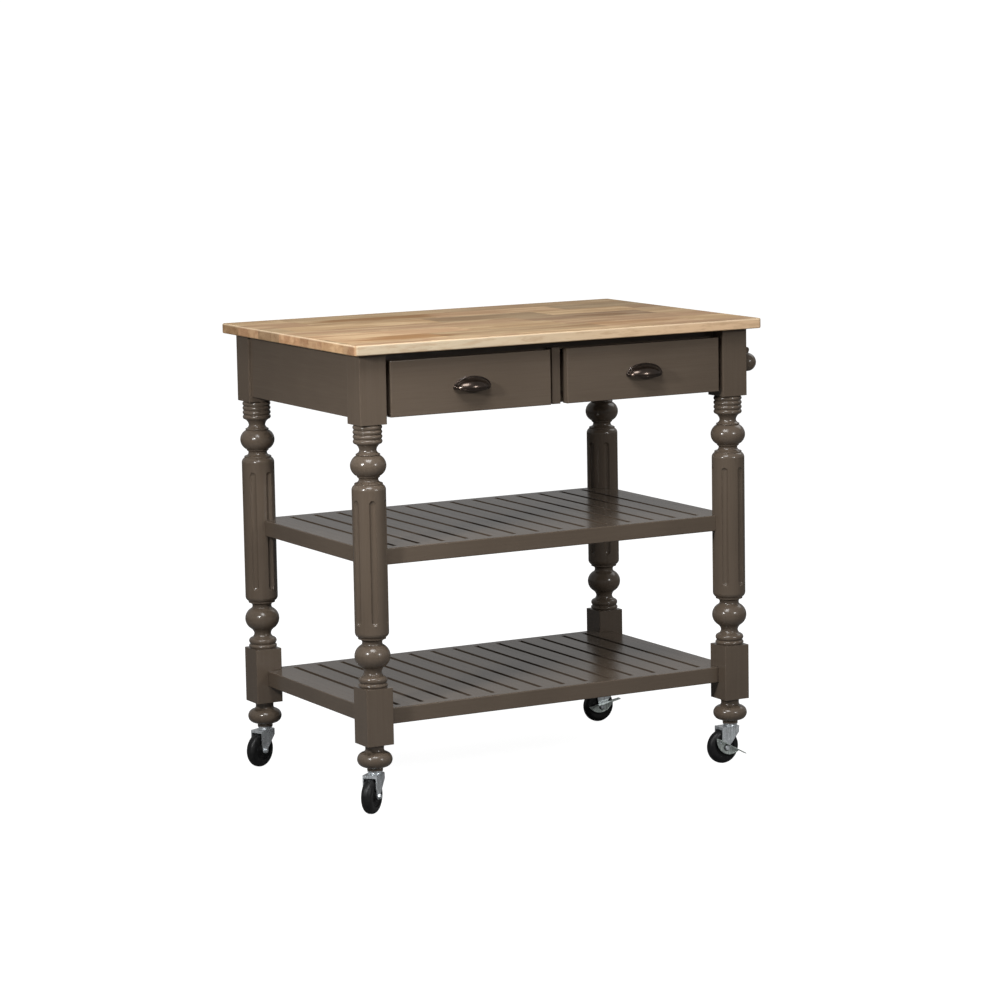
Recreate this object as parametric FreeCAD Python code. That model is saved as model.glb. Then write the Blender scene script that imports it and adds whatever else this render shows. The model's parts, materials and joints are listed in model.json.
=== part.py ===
import FreeCAD, Part
import math, os
from FreeCAD import Vector as V

# Wheeled butcher block table: a staved wooden worktop on four turned legs, two drawers,
# two slatted shelves, a towel bar on the right end and four swivel casters.
# Millimetres.  +X to the right seen from the drawer side, +Y to the back, +Z up.

os.makedirs("parts", exist_ok=True)

# ------------------------------------------------------------------ driving dimensions
HEIGHT = 914.0            # floor to worktop
TOP_L = 914.0             # worktop length along X
TOP_W = 610.0             # worktop width along Y
TOP_T = 20.0              # worktop thickness
FRONT_STAVE = 47.0        # edge-glued staves run the full length; the front one is ripped narrow
STAVE_W = 96.0            # the other staves, up to the remainder at the back
TOP_CORNER = 8.0          # plan radius of the worktop corners
TOP_EASE = 2.5            # rounding of the worktop edges

LEG_SIDE = 57.0           # square blocks of the legs
LEG_X = 407.5             # leg axis from the worktop centre
LEG_Y = 251.5
LEG_BOTTOM = 82.0
LOW_BLOCK = (134.5, 246.0)
COLUMN = (352.0, 634.0)
COLUMN_R = 33.2
TOP_BLOCK_Z = 757.5
BALL_R = 35.0             # widest radius of the balls
BUN_R = 34.5              # and of the foot
FLUTES = 6                # shallow flutes round each column
FLUTE_R = 8.0
FLUTE_DEPTH = 4.0

APRON_T = 22.0            # apron thickness
APRON_Z = 769.0           # underside of aprons, front rail and drawer fronts
APRON_IN = 5.0            # aprons sit back from the leg faces
TENON_T = 10.0
TENON_L = 25.0

RAIL_Y = -244.0           # front of the two rails, set back behind the drawer fronts
TOP_RAIL_T = 18.0
LOW_RAIL_T = 60.0         # the lower rail lies flat and closes the front of the drawer bays
STILE_Y = -268.0          # front of the stile between the drawers
RAIL_TOP_Z = 874.0
RAIL_LOW_Z = 791.0
STILE_W = 18.0
STILE_TOP_Z = 880.0

DRAWER_W = 351.0
FRONT_T = 19.0
FRONT_Z = (769.5, 878.0)
BOX_W = 346.0
BOX_Z = (792.0, 866.0)
BOX_BACK_Y = 180.0
BOARD_T = 12.0
BASE_T = 5.0
BASE_Z = 800.0
SLIDE_Z = 830.0

PULL_W = 76.0             # cup pulls, eye-shaped from the front
PULL_H = 19.0             # height above the corners of the eye
PULL_D = 25.0
PULL_DROP = 5.5           # the lower lip hangs this far below the corners
PULL_WALL = 2.0
PULL_Z = 816.6            # height of the corners
PULL_SCREW_X = 25.5
PULL_SCREW_Z = PULL_Z + 5.0

SHELF_X = 411.0           # half length of the shelf frames
SHELF_Y = 255.0           # half width
SHELF_T = 32.0
SHELF_RAIL = 22.0
SHELF_TOPS = {"upper": 514.0, "lower": 201.0}
SLAT_T = 12.0
SLAT_PITCH = 53.0
SLAT_GAP = 10.0
HOUSING = 12.0            # how far shelf rails enter the legs

BAR_X = 469.0
BAR_Z = 818.5
BAR_R = 11.0
BAR_BALL_R = 18.7
BAR_END_Y = 229.0
BAR_NECK = 19.0           # from the outer face of each bracket to the centre of the ball
BRACKET_T = 14.0
LOBE_R = 6.0

WHEEL_R = 35.0
WHEEL_W = 22.0
TYRE_ROUND = 9.5          # the tyre's section is nearly a half circle
TRAIL = 19.0
FORK_IN = 13.0
FORK_T = 2.0
AXLE_R = 3.0

FRAME_TOP = HEIGHT - TOP_T
LEG_OUT_X = LEG_X + LEG_SIDE / 2
LEG_IN_X = LEG_X - LEG_SIDE / 2
LEG_OUT_Y = LEG_Y + LEG_SIDE / 2
LEG_IN_Y = LEG_Y - LEG_SIDE / 2
FRONT_Y = -LEG_OUT_Y      # drawer fronts finish flush with the legs
SIDE_OUT = LEG_OUT_X - APRON_IN
SIDE_IN = SIDE_OUT - APRON_T
BACK_OUT = LEG_OUT_Y - APRON_IN
BACK_IN = BACK_OUT - APRON_T

CLEAT_W = 20.0            # strips that hold the top to the side aprons
CLEAT_Y = 140.0
TOP_SCREWS = [(sx * (SIDE_IN - CLEAT_W / 2), y) for sx in (-1, 1) for y in (-120.0, 0.0, 120.0)]
BOLT_REACH = 25.0         # corner bolts cross the inner corner of each leg on the diagonal
BOLT_Z = RAIL_TOP_Z + 12.5

BRACKET_Y = (-(BAR_END_Y - BAR_NECK - BRACKET_T / 2), BAR_END_Y - BAR_NECK - BRACKET_T / 2)
BRACKET_SCREW_Z = (BAR_Z - 24, BAR_Z + 24)

# The origin is the bottom centre of the whole object.  The towel bar brackets reach past the
# right end of the worktop, so the worktop centre lies a little to the left of the origin.
LOBE_X = 481.0
LOBE_Z = BAR_Z + 22.5
SHIFT = V((TOP_L / 2 - (LOBE_X + LOBE_R)) / 2, 0, 0)


# ------------------------------------------------------------------ helpers
def box(x0, x1, y0, y1, z0, z1):
    return Part.makeBox(x1 - x0, y1 - y0, z1 - z0, V(x0, y0, z0))


def cyl(r, h, base, axis=V(0, 0, 1)):
    return Part.makeCylinder(r, h, base, axis)


def prism(points, z0, z1):
    wire = Part.makePolygon([V(x, y, z0) for x, y in points] + [V(points[0][0], points[0][1], z0)])
    return Part.Face(wire).extrude(V(0, 0, z1 - z0))


def round_edges(shape, r, keep):
    edges = [e for e in shape.Edges if keep(e)]
    return shape.makeFillet(r, edges) if edges else shape


def along(axis):
    def test(edge):
        d = edge.Vertexes[-1].Point - edge.Vertexes[0].Point
        return d.Length > 1e-6 and abs(d.normalize().dot(axis)) > 0.999
    return test


def export(name, shapes):
    group = shapes if isinstance(shapes, list) else [shapes]
    solids = []
    for s in group:
        for solid in s.Solids:
            solids.append(solid.translated(SHIFT))
    shape = solids[0] if len(solids) == 1 else Part.makeCompound(solids)
    shape.exportStep("parts/%s.step" % name)


def mirror_x(shape):
    return shape.mirror(V(0, 0, 0), V(1, 0, 0))


def mirror_y(shape):
    return shape.mirror(V(0, 0, 0), V(0, 1, 0))


# ------------------------------------------------------------------ turned profile
class Turning:
    """Half profile of a turning, built upwards from the bottom."""

    def __init__(self, r, z):
        self.start = (r, z)
        self.r = r
        self.z = z
        self.edges = []

    def point(self, r, z):
        return V(r, 0, z)

    def line(self, r, z):
        self.edges.append(Part.makeLine(self.point(self.r, self.z), self.point(r, z)))
        self.r = r
        self.z = z

    def arc(self, r, z, mid_r, mid_z=None):
        middle = (self.z + z) / 2 if mid_z is None else mid_z
        curve = Part.Arc(self.point(self.r, self.z), self.point(mid_r, middle), self.point(r, z))
        self.edges.append(curve.toShape())
        self.r = r
        self.z = z

    def solid(self):
        top = self.z
        self.line(0, top)
        self.line(0, self.start[1])
        self.line(self.start[0], self.start[1])
        face = Part.Face(Part.Wire(self.edges))
        return face.revolve(V(0, 0, 0), V(0, 0, 1), 360)


def leg_blank():
    # foot: short neck, bun, upper neck running into the lower block
    foot = Turning(15.5, LEG_BOTTOM)
    foot.line(15.5, 86.5)
    foot.line(20.0, 89.5)
    foot.arc(23.4, 118.1, BUN_R, 104.0)
    foot.arc(18.2, 124.5, 19.4, 121.0)
    foot.line(19.0, LOW_BLOCK[0] + 4)
    # lower turning: two beads, neck, ball, neck, collar
    low = Turning(26.5, LOW_BLOCK[1] - 4)
    low.line(26.5, 247.0)
    low.arc(25.8, 254.8, 28.8)
    low.line(25.8, 256.0)
    low.arc(23.6, 268.0, 28.4, 261.4)
    low.arc(17.3, 275.5, 18.9, 271.5)
    low.line(17.3, 277.5)
    low.arc(23.0, 286.5, 19.2, 282.5)
    low.arc(23.0, 328.5, BALL_R)
    low.arc(19.6, 333.5, 20.3, 330.9)
    low.line(19.6, 335.6)
    low.arc(25.6, 340.8, 21.4, 338.8)
    low.line(27.2, 341.4)
    low.line(27.2, 344.6)
    # column with rounded shoulders
    low.arc(COLUMN_R, COLUMN[0] + 3, 31.5, 348.4)
    low.line(COLUMN_R, COLUMN[1] - 3)
    low.arc(27.6, 640.8, 31.4, 637.2)
    # upper turning: collar, neck, ball, shoulder, neck, four beads
    low.line(27.6, 643.8)
    low.line(26.2, 644.6)
    low.arc(19.0, 650.4, 20.6, 647.4)
    low.line(19.0, 653.2)
    low.line(22.3, 656.0)
    low.line(22.3, 657.7)
    low.arc(22.3, 697.7, BALL_R)
    low.line(22.9, 698.4)
    low.arc(22.9, 700.6, 23.9)
    low.arc(16.7, 708.2, 18.3, 703.9)
    low.arc(24.2, 719.6, 18.9, 714.2)
    beads_z = 720.3
    bead = (TOP_BLOCK_Z - 1 - beads_z) / 4
    for i in range(4):
        z = beads_z + i * bead
        low.line(26.3, z)
        low.arc(26.3, z + bead - 0.5, 28.6)
    low.line(25.0, TOP_BLOCK_Z - 1)
    low.line(25.0, TOP_BLOCK_Z + 4)
    h = LEG_SIDE / 2
    up_axis = along(V(0, 0, 1))
    low_block = round_edges(box(-h, h, -h, h, LOW_BLOCK[0], LOW_BLOCK[1]), 1.5, up_axis)
    top_block = round_edges(box(-h, h, -h, h, TOP_BLOCK_Z, FRAME_TOP), 1.5, up_axis)
    blank = low.solid().fuse([foot.solid(), low_block, top_block])
    # socket for the caster stem
    blank = blank.cut(cyl(5.8, 42.0, V(0, 0, LEG_BOTTOM - 1)))
    return blank.removeSplitter()


def flute_cutters(first):
    """Round-ended flutes cut into a column on the Z axis, the first one at an angle in degrees."""
    reach = COLUMN_R - FLUTE_DEPTH + FLUTE_R
    z0 = COLUMN[0] + 24
    z1 = COLUMN[1] - 28
    cutters = []
    for i in range(FLUTES):
        a = math.radians(first + 360.0 / FLUTES * i)
        x = reach * math.cos(a)
        y = reach * math.sin(a)
        cutters.append(cyl(FLUTE_R, z1 - z0, V(x, y, z0)))
        cutters.append(Part.makeSphere(FLUTE_R, V(x, y, z0)))
        cutters.append(Part.makeSphere(FLUTE_R, V(x, y, z1)))
    return cutters


# ------------------------------------------------------------------ worktop
def make_top():
    slab = box(-TOP_L / 2, TOP_L / 2, -TOP_W / 2, TOP_W / 2, FRAME_TOP, HEIGHT)
    slab = round_edges(slab, TOP_CORNER, along(V(0, 0, 1)))

    def rim(edge):
        zs = [v.Point.z for v in edge.Vertexes]
        return max(zs) - min(zs) < 1e-6

    slab = round_edges(slab, TOP_EASE, rim)
    holes = []
    for x, y in TOP_SCREWS:
        holes.append(cyl(2.3, 16.0, V(x, y, FRAME_TOP - 1)))
    slab = slab.cut(holes)
    staves = []
    y0 = -TOP_W / 2
    y1 = y0 + FRONT_STAVE
    while y0 < TOP_W / 2:
        staves.append(slab.common(box(-TOP_L, TOP_L, y0, y1, FRAME_TOP - 5, HEIGHT + 5)))
        y0 = y1
        y1 = min(y0 + STAVE_W, TOP_W / 2)
    export("top_staves", staves)


def make_cleats():
    cleats = []
    screws = []
    for s in (-1, 1):
        x0, x1 = sorted((s * SIDE_IN, s * (SIDE_IN - CLEAT_W)))
        cleats.append(box(x0, x1, -CLEAT_Y, CLEAT_Y, RAIL_TOP_Z, FRAME_TOP))
    for x, y in TOP_SCREWS:
        hole = cyl(2.4, 40.0, V(x, y, RAIL_TOP_Z - 5))
        cleats = [c.cut(hole) for c in cleats]
        screw = cyl(2.0, 35.5, V(x, y, RAIL_TOP_Z - 1))
        head = Part.makeCone(3.0, 4.4, 2.2, V(x, y, RAIL_TOP_Z - 2.2))
        screws.append(screw.fuse(head))
    export("top_cleats", cleats)
    export("top_screws", screws)


# ------------------------------------------------------------------ corner blocks and their bolts
def make_corners():
    blocks = []
    bolts = []
    holes = []
    d = 1 / math.sqrt(2)
    for sx in (-1, 1):
        for sy, face in ((-1, -RAIL_Y - TOP_RAIL_T), (1, BACK_IN)):
            reach = (SIDE_IN - LEG_IN_X) + (face - LEG_IN_Y) + 2 * BOLT_REACH
            pts = [(SIDE_IN, face - reach), (SIDE_IN, LEG_IN_Y), (LEG_IN_X, LEG_IN_Y)]
            pts += [(LEG_IN_X, face), (SIDE_IN - reach, face)]
            pts = [(sx * x, sy * y) for x, y in pts]
            block = prism(pts, RAIL_TOP_Z, FRAME_TOP)
            start = V(sx * (LEG_IN_X - BOLT_REACH), sy * (LEG_IN_Y - BOLT_REACH), BOLT_Z)
            axis = V(sx * d, sy * d, 0)
            hole = cyl(3.4, 90.0, start - axis * 10, axis)
            block = block.cut(hole)
            shaft = cyl(3.0, 66.0, start - axis * 9, axis)
            washer = cyl(7.0, 1.6, start - axis * 1.6, axis)
            nut = hexagon(5.0, 5.0, start - axis * 6.6, axis)
            bolts.append(shaft.fuse([washer, nut]))
            blocks.append(block)
            holes.append((sx, sy, cyl(3.3, 62.0, start + axis * 1.0, axis)))
    export("corner_blocks", blocks)
    export("corner_bolts", bolts)
    return holes


def hexagon(r_in, h, base, axis):
    r = r_in / math.cos(math.pi / 6)
    pts = [V(r * math.cos(math.pi / 3 * i), r * math.sin(math.pi / 3 * i), 0) for i in range(6)]
    shape = Part.Face(Part.makePolygon(pts + [pts[0]])).extrude(V(0, 0, h))
    turn = FreeCAD.Rotation(V(0, 0, 1), axis)
    shape.Placement = FreeCAD.Placement(base, turn)
    return shape


# ------------------------------------------------------------------ aprons and face frame
def make_aprons(bolt_holes):
    mid_x = (SIDE_OUT + SIDE_IN) / 2
    mid_y = (BACK_OUT + BACK_IN) / 2
    t = TENON_T / 2
    z0 = APRON_Z + 12
    z1 = FRAME_TOP - 24
    side = box(SIDE_IN, SIDE_OUT, -LEG_IN_Y, LEG_IN_Y, APRON_Z, FRAME_TOP)
    side_tenons = [
        box(mid_x - t, mid_x + t, LEG_IN_Y, LEG_IN_Y + TENON_L, z0, z1),
        box(mid_x - t, mid_x + t, -LEG_IN_Y - TENON_L, -LEG_IN_Y, z0, z1),
    ]
    back = box(-LEG_IN_X, LEG_IN_X, BACK_IN, BACK_OUT, APRON_Z, FRAME_TOP)
    back_tenons = [
        box(LEG_IN_X, LEG_IN_X + TENON_L, mid_y - t, mid_y + t, z0, z1),
        box(-LEG_IN_X - TENON_L, -LEG_IN_X, mid_y - t, mid_y + t, z0, z1),
    ]
    right = side.fuse(side_tenons).removeSplitter()
    back = back.fuse(back_tenons).removeSplitter()
    holes = []
    for y in BRACKET_Y:
        for z in BRACKET_SCREW_Z:
            holes.append(cyl(2.2, 24.0, V(SIDE_OUT - 20, y, z), V(1, 0, 0)))
    export("apron_right", right.cut(holes))
    export("apron_left", mirror_x(right))
    export("apron_back", back)
    cuts = side_tenons + [mirror_x(s) for s in side_tenons] + back_tenons
    # behind the drawer fronts: two long rails and a stile between the openings
    top_back = RAIL_Y + TOP_RAIL_T
    low_back = RAIL_Y + LOW_RAIL_T
    top_rail = box(-LEG_IN_X, LEG_IN_X, RAIL_Y, top_back, RAIL_TOP_Z, FRAME_TOP)
    low_rail = box(-LEG_IN_X, LEG_IN_X, RAIL_Y, low_back, APRON_Z, RAIL_LOW_Z)
    top_tenons = []
    low_tenons = []
    for s in (-1, 1):
        xa, xb = sorted((s * LEG_IN_X, s * (LEG_IN_X + 18)))
        # the upper tenons keep below the corner bolts
        top_tenons.append(box(xa, xb, RAIL_Y + 5, top_back - 5, RAIL_TOP_Z + 2, BOLT_Z - 4))
        low_tenons.append(box(xa, xb, RAIL_Y + 4, RAIL_Y + 16, APRON_Z + 4, RAIL_LOW_Z - 4))
    bored = top_rail.fuse(top_tenons).removeSplitter().cut([hole for hx, hy, hole in bolt_holes])
    export("rail_front_top", bored)
    export("rail_front_low", low_rail.fuse(low_tenons).removeSplitter())
    cuts += top_tenons + low_tenons
    half = STILE_W / 2
    export("stile_front", box(-half, half, STILE_Y, RAIL_Y, APRON_Z, STILE_TOP_Z))
    # board on edge between the two drawers, and packing that brings the slides flush with the legs
    divider = box(-half, half, RAIL_Y, BACK_IN, APRON_Z + 8, RAIL_TOP_Z - 2)
    export("drawer_divider", divider.cut(low_rail))
    packers = []
    for s in (-1, 1):
        xa, xb = sorted((s * LEG_IN_X, s * SIDE_IN))
        packers.append(box(xa, xb, -LEG_IN_Y, LEG_IN_Y, SLIDE_Z - 26, SLIDE_Z + 26))
    export("slide_packers", packers)
    return cuts


# ------------------------------------------------------------------ legs
def make_legs(cuts, bolt_holes):
    blank = leg_blank()
    names = {(-1, -1): "leg_front_left", (1, -1): "leg_front_right"}
    names.update({(-1, 1): "leg_back_left", (1, 1): "leg_back_right"})
    for (sx, sy), name in names.items():
        # the flutes mirror from leg to leg
        first = 15 if sx == sy else 45
        leg = blank.cut(flute_cutters(first)).translated(V(sx * LEG_X, sy * LEG_Y, 0))
        near = [c for c in cuts if c.BoundBox.XMin * sx + c.BoundBox.XMax * sx > 2 * LEG_IN_X - 60]
        tools = []
        for c in near:
            if leg.BoundBox.intersect(c.BoundBox):
                tools.append(c)
        for hx, hy, hole in bolt_holes:
            if (hx, hy) == (sx, sy):
                tools.append(hole)
        export(name, leg.cut(tools))


# ------------------------------------------------------------------ shelves
def make_shelf(name, top):
    z0 = top - SHELF_T
    y_in = SHELF_Y - SHELF_RAIL
    x_end = LEG_IN_X + HOUSING
    x_side = SHELF_X - SHELF_RAIL
    rails = []
    ledgers = []
    sides = []
    for s in (-1, 1):
        ya, yb = sorted((s * y_in, s * SHELF_Y))
        rail = box(-x_end, x_end, ya, yb, z0, top)

        def outer(edge, s=s):
            d = along(V(1, 0, 0))(edge)
            return d and abs(edge.Vertexes[0].Point.y - s * SHELF_Y) < 1e-6

        rails.append(round_edges(rail, 2.0, outer))
        ya, yb = sorted((s * (y_in - 14), s * y_in))
        ledgers.append(box(-x_side, x_side, ya, yb, z0 + 2, top - SLAT_T))
        xa, xb = sorted((s * x_side, s * SHELF_X))
        side = box(xa, xb, -y_in, y_in, z0, top)

        def rim(edge, s=s):
            d = along(V(0, 1, 0))(edge)
            return d and abs(edge.Vertexes[0].Point.x - s * SHELF_X) < 1e-6

        sides.append(round_edges(side, 2.0, rim))
    slats = []
    gaps = int(round(2 * (x_side - 39.5) / SLAT_PITCH)) + 1
    first = -SLAT_PITCH * (gaps - 1) / 2
    lines = [first + SLAT_PITCH * i for i in range(gaps)]
    edges = [-x_side - SLAT_GAP / 2] + lines + [x_side + SLAT_GAP / 2]
    for i in range(len(edges) - 1):
        xa = edges[i] + SLAT_GAP / 2
        xb = edges[i + 1] - SLAT_GAP / 2
        slats.append(box(xa, xb, -y_in, y_in, top - SLAT_T, top))
    export("shelf_%s_rails" % name, rails)
    export("shelf_%s_sides" % name, sides)
    export("shelf_%s_ledgers" % name, ledgers)
    export("shelf_%s_slats" % name, slats)
    cuts = []
    for s in rails + sides + ledgers + [slats[0], slats[-1]]:
        b = s.BoundBox
        for sx in (-1, 1):
            for sy in (-1, 1):
                xa, xb = sorted((sx * (LEG_IN_X - 8), sx * (LEG_OUT_X + 10)))
                ya, yb = sorted((sy * (LEG_IN_Y - 34), sy * (LEG_OUT_Y + 10)))
                piece = s.common(box(xa, xb, ya, yb, b.ZMin, b.ZMax))
                if piece.Solids:
                    cuts.append(piece)
    return cuts


# ------------------------------------------------------------------ drawers
def make_pull(cx):
    """Cup pull: a thin dome open below, its lip drooping to the front, with a flat flange behind."""
    y = FRONT_Y
    lowest = PULL_Z - PULL_DROP * 60 / PULL_D
    above = yz_prism([(y, PULL_Z), (y - 60, lowest), (y - 60, PULL_Z + 60), (y, PULL_Z + 60)])
    lip_zone = yz_prism([(y, PULL_Z), (y - 60, lowest), (y - 60, lowest + 2.4), (y, PULL_Z + 2.4)])
    shell = cup_shell(0.0, y).common(above)
    lip = cup_shell(0.6, y).common(lip_zone)
    flange = half_oval(PULL_W / 2 + 3, PULL_H + 3, y - 1.6, y, -1.5)
    window = half_oval(PULL_W / 2 - 4, PULL_H - 4, y - 3, y + 1, -5)
    body = shell.fuse([lip, flange.cut(window)])
    holes = []
    for s in (-1, 1):
        boss = cyl(4.2, PULL_D, V(s * PULL_SCREW_X, y, PULL_SCREW_Z), V(0, -1, 0))
        boss = boss.common(scaled_ball(PULL_W / 2 - 1, PULL_D - 1, PULL_H - 1, y))
        ear = cyl(3.6, 3.0, V(s * (PULL_W / 2 - 0.5), y, PULL_Z + 2.0), V(0, -1, 0))
        body = body.fuse([boss, round_edges(ear, 1.4, lambda e: e.BoundBox.YMax < y - 2)])
        holes.append(cyl(2.1, 8.0, V(s * PULL_SCREW_X, y + 1, PULL_SCREW_Z), V(0, -1, 0)))
    body = body.cut(holes).removeSplitter()
    return body.translated(V(cx, 0, 0))


def yz_prism(points):
    pts = [V(-100, y, z) for y, z in points]
    return Part.Face(Part.makePolygon(pts + [pts[0]])).extrude(V(200, 0, 0))


def scaled_ball(a, b, c, y):
    m = FreeCAD.Matrix()
    m.A11 = a
    m.A22 = b
    m.A33 = c
    ball = Part.makeSphere(1.0).transformGeometry(m)
    return ball.translated(V(0, y, PULL_Z))


def cup_shell(grow, y):
    """Shell between two ellipsoids; grow thickens it both ways."""
    half = PULL_W / 2
    outer = scaled_ball(half + grow, PULL_D + grow, PULL_H + grow, y)
    t = PULL_WALL + grow
    return outer.cut(scaled_ball(half - t, PULL_D - t, PULL_H - t, y))


def oval_arc(a, b, n=24):
    return [(a * math.cos(math.pi * i / n), b * math.sin(math.pi * i / n)) for i in range(n + 1)]


def half_oval(a, c, y0, y1, drop):
    pts = [V(x, y0, PULL_Z + z) for x, z in oval_arc(a, c)]
    curve = Part.BSplineCurve()
    curve.interpolate(pts)
    low = [V(-a, y0, PULL_Z + drop), V(a, y0, PULL_Z + drop)]
    edges = [curve.toShape(), Part.makeLine(pts[-1], low[0])]
    edges += [Part.makeLine(low[0], low[1]), Part.makeLine(low[1], pts[0])]
    return Part.Face(Part.Wire(edges)).extrude(V(0, y1 - y0, 0))


def make_drawer(name, s):
    """s is -1 for the left drawer and +1 for the right one."""
    cx = s * (LEG_IN_X + STILE_W / 2) / 2
    xa = cx - BOX_W / 2
    xb = cx + BOX_W / 2
    y0 = FRONT_Y + FRONT_T
    groove = 5.0
    front = box(cx - DRAWER_W / 2, cx + DRAWER_W / 2, FRONT_Y, y0, FRONT_Z[0], FRONT_Z[1])

    def face_edge(edge):
        return max(abs(v.Point.y - FRONT_Y) for v in edge.Vertexes) < 1e-6

    front = round_edges(front, 1.6, face_edge)
    inner = BOX_W / 2 - BOARD_T + groove
    base = box(cx - inner, cx + inner, y0 - groove, BOX_BACK_Y, BASE_Z, BASE_Z + BASE_T)
    screws = []
    for d in (-PULL_SCREW_X, PULL_SCREW_X):
        hole = cyl(2.3, FRONT_T + 2, V(cx + d, y0 + 1, PULL_SCREW_Z), V(0, -1, 0))
        front = front.cut(hole)
        shaft = cyl(1.9, FRONT_T + 6.5, V(cx + d, y0, PULL_SCREW_Z), V(0, -1, 0))
        head = cyl(4.2, 1.8, V(cx + d, y0 + 1.8, PULL_SCREW_Z), V(0, -1, 0))
        screws.append(shaft.fuse(head))
    front = front.cut(base)
    sides = []
    for x in (xa, xb - BOARD_T):
        board = box(x, x + BOARD_T, y0, BOX_BACK_Y, BOX_Z[0], BOX_Z[1])
        sides.append(board.cut(base))
    back = box(xa + BOARD_T, xb - BOARD_T, BOX_BACK_Y - BOARD_T, BOX_BACK_Y, BASE_Z + BASE_T, BOX_Z[1])
    export("drawer_%s_front" % name, front)
    export("drawer_%s_sides" % name, sides)
    export("drawer_%s_back" % name, back)
    export("drawer_%s_base" % name, base)
    export("drawer_%s_pull" % name, make_pull(cx))
    export("drawer_%s_pull_screws" % name, screws)
    # side slides: a fixed channel on the carcase and a moving member on the drawer side
    fixed = []
    moving = []
    bay = LEG_IN_X - STILE_W / 2
    for side in (-1, 1):
        wall = cx + side * bay / 2
        d = -side
        length = (-222.0, 200.0)
        web = box(*sorted((wall, wall + d * 1.5)), *length, SLIDE_Z - 18, SLIDE_Z + 18)
        lips = []
        for z in (SLIDE_Z - 18, SLIDE_Z + 16.5):
            lips.append(box(*sorted((wall, wall + d * 9.5)), *length, z, z + 1.5))
        fixed.append(web.fuse(lips).removeSplitter())
        face = cx + side * BOX_W / 2
        bar = (-230.0, 166.0)
        plate = box(*sorted((face, face + side * 1.5)), *bar, SLIDE_Z - 14, SLIDE_Z + 14)
        flanges = []
        for z in (SLIDE_Z - 14, SLIDE_Z + 12.5):
            flanges.append(box(*sorted((face, face + side * 9.0)), *bar, z, z + 1.5))
        moving.append(plate.fuse(flanges).removeSplitter())
    export("slides_fixed_%s" % name, fixed)
    export("drawer_%s_slides" % name, moving)


# ------------------------------------------------------------------ towel bar
def make_towel_bar():
    x0 = SIDE_OUT
    plate_t = 11.0
    brackets = []
    screws = []
    for y in BRACKET_Y:
        ya = y - BRACKET_T / 2
        yb = y + BRACKET_T / 2
        plate = box(x0, x0 + plate_t, ya, yb, BAR_Z - 34, BAR_Z + 34)

        def outer(edge):
            return along(V(0, 1, 0))(edge) and edge.Vertexes[0].Point.x > x0 + 1

        plate = round_edges(plate, 6.0, outer)
        arm = box(x0, BAR_X, ya, yb, BAR_Z - 12, BAR_Z + 12)
        boss = cyl(16.0, BRACKET_T, V(BAR_X, ya, BAR_Z), V(0, 1, 0))
        lobe = cyl(LOBE_R, BRACKET_T, V(LOBE_X, ya, LOBE_Z), V(0, 1, 0))
        link = V(LOBE_X - BAR_X, 0, LOBE_Z - BAR_Z)
        side = V(link.z, 0, -link.x).normalize()
        a = V(BAR_X, ya, BAR_Z)
        b = V(LOBE_X, ya, LOBE_Z)
        pts = [a + side * 9, b + side * LOBE_R, b - side * LOBE_R, a - side * 9]
        neck = Part.Face(Part.makePolygon(pts + [pts[0]])).extrude(V(0, BRACKET_T, 0))
        body = plate.fuse([arm, boss, lobe, neck]).removeSplitter()
        body = body.cut(cyl(BAR_R + 0.3, BRACKET_T + 2, V(BAR_X, ya - 1, BAR_Z), V(0, 1, 0)))
        for z in BRACKET_SCREW_Z:
            body = body.cut(cyl(2.3, plate_t + 2, V(x0 - 1, y, z), V(1, 0, 0)))
            shaft = cyl(1.9, plate_t + 18, V(x0 - 18, y, z), V(1, 0, 0))
            head = cyl(4.0, 1.6, V(x0 + plate_t, y, z), V(1, 0, 0))
            screws.append(shaft.fuse(head))
        brackets.append(body)
    half = Turning(BAR_R, 0)
    reach = BAR_END_Y
    inner = BAR_END_Y - BAR_NECK
    half.line(BAR_R, inner)
    half.line(13.6, inner)
    half.line(13.6, inner + 2.4)
    half.line(10.4, reach - math.sqrt(BAR_BALL_R ** 2 - 10.4 ** 2))
    half.arc(0.0, reach + BAR_BALL_R, BAR_BALL_R, reach)
    half.edges.append(Part.makeLine(V(0, 0, reach + BAR_BALL_R), V(0, 0, 0)))
    half.edges.append(Part.makeLine(V(0, 0, 0), V(BAR_R, 0, 0)))
    turned = Part.Face(Part.Wire(half.edges)).revolve(V(0, 0, 0), V(0, 0, 1), 360)
    turned.rotate(V(0, 0, 0), V(1, 0, 0), 90)
    turned = turned.translated(V(BAR_X, 0, BAR_Z))
    bar = turned.fuse(mirror_y(turned)).removeSplitter()
    export("towel_bar", bar)
    export("towel_bar_brackets", brackets)
    export("towel_bar_screws", screws)


# ------------------------------------------------------------------ casters
def rim_fillet(shape, r, radius):
    def test(edge):
        c = edge.Curve
        return isinstance(c, Part.Circle) and abs(c.Radius - radius) < 1e-6
    return round_edges(shape, r, test)


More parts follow.
